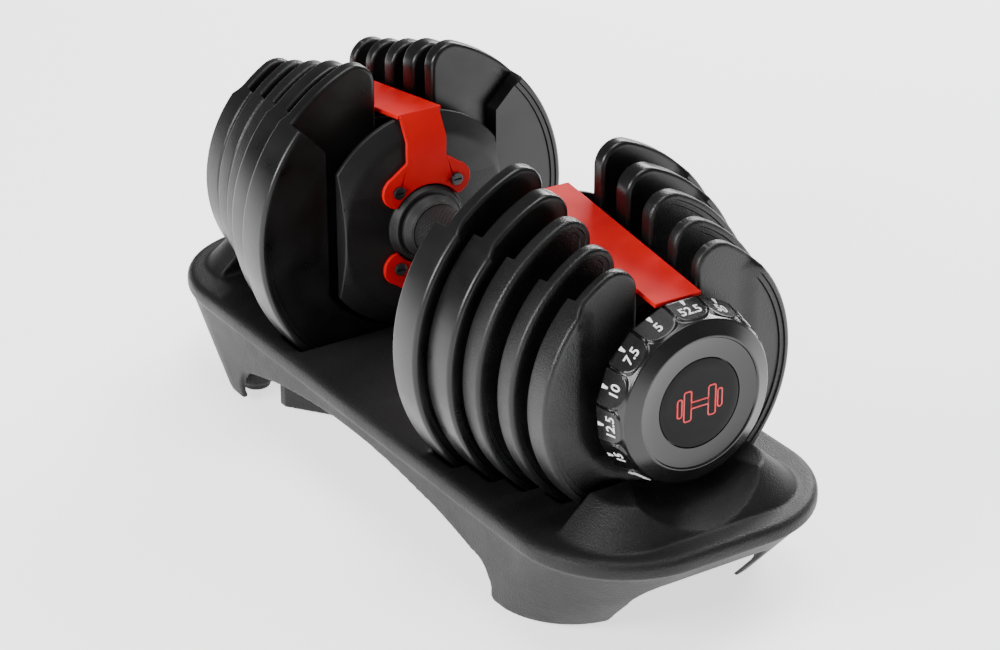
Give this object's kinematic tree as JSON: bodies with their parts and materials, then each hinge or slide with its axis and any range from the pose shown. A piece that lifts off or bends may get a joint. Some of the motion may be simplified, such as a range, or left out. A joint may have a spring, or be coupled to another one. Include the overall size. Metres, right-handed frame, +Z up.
{
  "type": "adjustable dumbbell",
  "caption": "Dial-select adjustable dumbbell resting in its moulded cradle; turning the end dials picks how many plates lift with the handle.",
  "frame": {"origin": "on the floor under the middle of the cradle", "axes": "+X along the handle towards the near dial, +Z up"},
  "size_m": [0.459, 0.196, 0.2171],
  "materials": {
    "cradle_plastic": "fine grained, matte",
    "rubber": "matte",
    "steel": "turned, zinc plated",
    "spring_steel": "drawn wire",
    "screw_steel": "black oxide",
    "grip_plastic": "knurled, matte",
    "cast_steel": "hot rolled",
    "plate_nylon": "satin nylon with fine grain",
    "disc_nylon": "satin",
    "dial_plastic": "satin black, white numbers",
    "cap_plastic": "flat dark disc",
    "red_steel": "red powder coat"
  },
  "bodies": {
    "cradle": {"base_tray": "cradle_plastic", "rubber_feet": "rubber", "lock_posts": "cradle_plastic"},
    "handle": {"handle_shaft": "steel", "grip_sleeve": "grip_plastic", "bridge_screws": "screw_steel", "bracket_screws": "screw_steel", "end_bolts": "steel", "end_washers": "steel", "grip_collar_near": "grip_plastic", "support_disc_near": "disc_nylon", "upper_bridge_near": "red_steel", "lower_bracket_near": "red_steel", "lock_spring_near": "spring_steel", "detent_ball_near": "steel", "detent_spring_near": "spring_steel", "grip_collar_far": "grip_plastic", "support_disc_far": "disc_nylon", "upper_bridge_far": "red_steel", "lower_bracket_far": "red_steel", "lock_spring_far": "spring_steel", "detent_ball_far": "steel", "detent_spring_far": "spring_steel"},
    "dial_near": {"dial_near": "dial_plastic", "emblem_cap_near": "cap_plastic", "selector_disc_near_1": "disc_nylon", "selector_disc_near_2": "disc_nylon", "selector_disc_near_3": "disc_nylon", "selector_disc_near_4": "disc_nylon", "selector_disc_near_5": "disc_nylon"},
    "plate_near_1": {"plate_core_near_1": "cast_steel", "plate_shell_near_1": "plate_nylon"},
    "plate_near_2": {"plate_core_near_2": "cast_steel", "plate_shell_near_2": "plate_nylon"},
    "plate_near_3": {"plate_core_near_3": "cast_steel", "plate_shell_near_3": "plate_nylon"},
    "plate_near_4": {"plate_core_near_4": "cast_steel", "plate_shell_near_4": "plate_nylon"},
    "plate_near_5": {"plate_core_near_5": "cast_steel", "plate_shell_near_5": "plate_nylon"},
    "lock_pin_near": {"lock_pin_near": "steel"},
    "dial_far": {"dial_far": "dial_plastic", "emblem_cap_far": "cap_plastic", "selector_disc_far_1": "disc_nylon", "selector_disc_far_2": "disc_nylon", "selector_disc_far_3": "disc_nylon", "selector_disc_far_4": "disc_nylon", "selector_disc_far_5": "disc_nylon"},
    "plate_far_1": {"plate_core_far_1": "cast_steel", "plate_shell_far_1": "plate_nylon"},
    "plate_far_2": {"plate_core_far_2": "cast_steel", "plate_shell_far_2": "plate_nylon"},
    "plate_far_3": {"plate_core_far_3": "cast_steel", "plate_shell_far_3": "plate_nylon"},
    "plate_far_4": {"plate_core_far_4": "cast_steel", "plate_shell_far_4": "plate_nylon"},
    "plate_far_5": {"plate_core_far_5": "cast_steel", "plate_shell_far_5": "plate_nylon"},
    "lock_pin_far": {"lock_pin_far": "steel"}
  },
  "joints": [
    {"name": "handle_lift", "type": "slide", "parent": "cradle", "child": "handle", "axis": [0, 0, 1], "range_m": [0, 0.25]},
    {"name": "dial_turn_near", "type": "hinge", "parent": "handle", "child": "dial_near", "pos_m": [0.19, 0, 0.125], "axis": [1, 0, 0], "continuous": true},
    {"name": "plate_lift_near_1", "type": "slide", "parent": "cradle", "child": "plate_near_1", "axis": [0, 0, 1], "range_m": [0, 0.25]},
    {"name": "plate_lift_near_2", "type": "slide", "parent": "cradle", "child": "plate_near_2", "axis": [0, 0, 1], "range_m": [0, 0.25]},
    {"name": "plate_lift_near_3", "type": "slide", "parent": "cradle", "child": "plate_near_3", "axis": [0, 0, 1], "range_m": [0, 0.25]},
    {"name": "plate_lift_near_4", "type": "slide", "parent": "cradle", "child": "plate_near_4", "axis": [0, 0, 1], "range_m": [0, 0.25]},
    {"name": "plate_lift_near_5", "type": "slide", "parent": "cradle", "child": "plate_near_5", "axis": [0, 0, 1], "range_m": [0, 0.25]},
    {"name": "lock_pin_slide_near", "type": "slide", "parent": "cradle", "child": "lock_pin_near", "axis": [0, 0, 1], "range_m": [0, 0.246]},
    {"name": "dial_turn_far", "type": "hinge", "parent": "handle", "child": "dial_far", "pos_m": [-0.19, 0, 0.125], "axis": [-1, 0, 0], "continuous": true},
    {"name": "plate_lift_far_1", "type": "slide", "parent": "cradle", "child": "plate_far_1", "axis": [0, 0, 1], "range_m": [0, 0.25]},
    {"name": "plate_lift_far_2", "type": "slide", "parent": "cradle", "child": "plate_far_2", "axis": [0, 0, 1], "range_m": [0, 0.25]},
    {"name": "plate_lift_far_3", "type": "slide", "parent": "cradle", "child": "plate_far_3", "axis": [0, 0, 1], "range_m": [0, 0.25]},
    {"name": "plate_lift_far_4", "type": "slide", "parent": "cradle", "child": "plate_far_4", "axis": [0, 0, 1], "range_m": [0, 0.25]},
    {"name": "plate_lift_far_5", "type": "slide", "parent": "cradle", "child": "plate_far_5", "axis": [0, 0, 1], "range_m": [0, 0.25]},
    {"name": "lock_pin_slide_far", "type": "slide", "parent": "cradle", "child": "lock_pin_far", "axis": [0, 0, 1], "range_m": [0, 0.246]}
  ],
  "couplings": [
    {"joint": "plate_lift_near_1", "follows": "handle_lift", "ratio": 1},
    {"joint": "plate_lift_near_2", "follows": "handle_lift", "ratio": 1},
    {"joint": "plate_lift_near_3", "follows": "handle_lift", "ratio": 1},
    {"joint": "plate_lift_near_4", "follows": "handle_lift", "ratio": 1},
    {"joint": "plate_lift_near_5", "follows": "handle_lift", "ratio": 1},
    {"joint": "lock_pin_slide_near", "follows": "handle_lift", "ratio": 0.984},
    {"joint": "plate_lift_far_1", "follows": "handle_lift", "ratio": 1},
    {"joint": "plate_lift_far_2", "follows": "handle_lift", "ratio": 1},
    {"joint": "plate_lift_far_3", "follows": "handle_lift", "ratio": 1},
    {"joint": "plate_lift_far_4", "follows": "handle_lift", "ratio": 1},
    {"joint": "plate_lift_far_5", "follows": "handle_lift", "ratio": 1},
    {"joint": "lock_pin_slide_far", "follows": "handle_lift", "ratio": 0.984}
  ]
}
